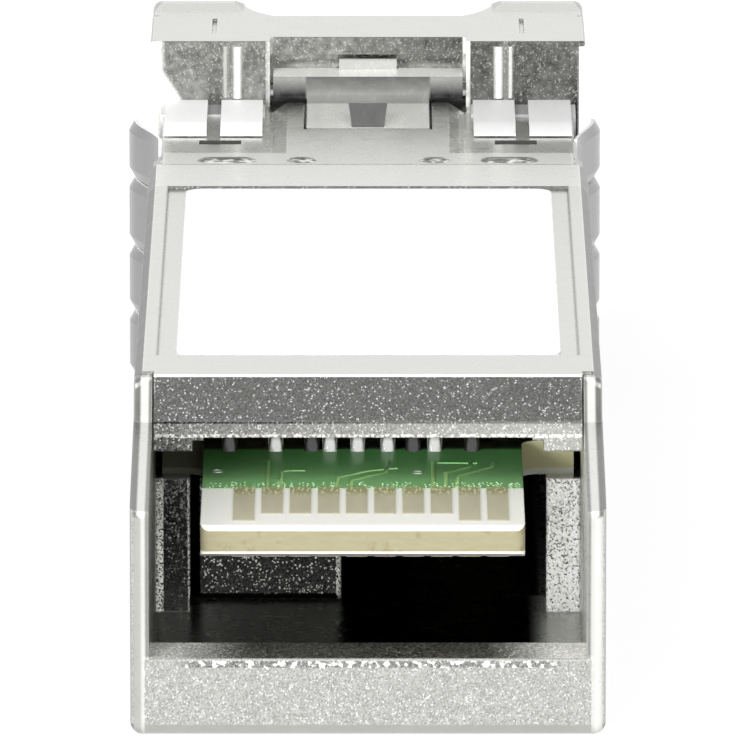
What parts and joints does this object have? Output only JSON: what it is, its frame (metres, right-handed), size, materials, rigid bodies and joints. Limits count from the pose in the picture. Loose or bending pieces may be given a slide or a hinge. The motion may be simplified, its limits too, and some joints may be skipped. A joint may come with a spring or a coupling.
{
  "type": "sfp transceiver",
  "caption": "Pluggable duplex optical transceiver module in a die-cast nickel-plated housing, with an edge-contact board, spring collar, rocking latch lever and folding release bail.",
  "frame": {"origin": "middle of the bottom of the module's box as it lies on its true top, label face up", "axes": "+Y from the edge connector towards the nose and its optical ports, +Z out of the label face, +X across the module"},
  "size_m": [0.0146, 0.0564, 0.0104],
  "materials": {
    "base_casting": "nickel-plated die-cast zinc, fine sparkling grain",
    "cover_casting": "nickel-plated die-cast zinc, satin label face, grained rear lip",
    "screw_steel": "plain steel",
    "label_paper": "bare white film label",
    "spring_sheet": "smooth rolled spring sheet",
    "lever_steel": "satin nickel",
    "pin_steel": "ground steel",
    "bail_casting": "nickel-plated casting",
    "board_laminate": "glass-epoxy laminate with green solder mask",
    "contact_gold": "dull gold plating",
    "chip_resin": "moulded black resin",
    "capacitor_ceramic": "fired ceramic",
    "terminal_tin": "tinned ends with solder",
    "pad_silicone": "soft gap filler",
    "can_steel": "gold-flashed steel",
    "barrel_steel": "turned stainless steel",
    "sleeve_ceramic": "polished white ceramic",
    "flex_film": "amber film circuit",
    "retainer_plastic": "moulded black plastic"
  },
  "bodies": {
    "housing": {"base_shell": "base_casting", "cover_shell": "cover_casting", "cover_screw": "screw_steel", "label": "label_paper", "emi_collar": "spring_sheet", "lever_pin": "pin_steel", "lever_spring": "spring_sheet", "circuit_board": "board_laminate", "edge_contacts": "contact_gold", "laser_driver_chip": "chip_resin", "receiver_chip": "chip_resin", "controller_chip": "chip_resin", "chip_capacitors": "capacitor_ceramic", "chip_terminals": "terminal_tin", "thermal_pad": "pad_silicone", "transmitter_can": "can_steel", "transmitter_barrel": "barrel_steel", "transmitter_sleeve": "sleeve_ceramic", "transmitter_flex": "flex_film", "receiver_can": "can_steel", "receiver_barrel": "barrel_steel", "receiver_sleeve": "sleeve_ceramic", "receiver_flex": "flex_film", "optics_retainer": "retainer_plastic"},
    "lever": {"latch_lever": "lever_steel"},
    "bail": {"bail_handle": "bail_casting", "cam_shaft": "pin_steel"}
  },
  "joints": [
    {"name": "bail_hinge", "type": "hinge", "parent": "housing", "child": "bail", "pos_m": [0, 0.02515, 0.00855], "axis": [1, 0, 0], "range_deg": [0, 90]},
    {"name": "lever_rock", "type": "hinge", "parent": "housing", "child": "lever", "pos_m": [0, 0.02055, 0.0085], "axis": [1, 0, 0], "range_deg": [0, 7], "stiffness_Nm_per_rad": 0.00001, "springref_deg": -14.32, "deforming": ["lever_spring"]}
  ],
  "couplings": [
    {"joint": "lever_rock", "follows": "bail_hinge", "ratio": 0.0777}
  ]
}
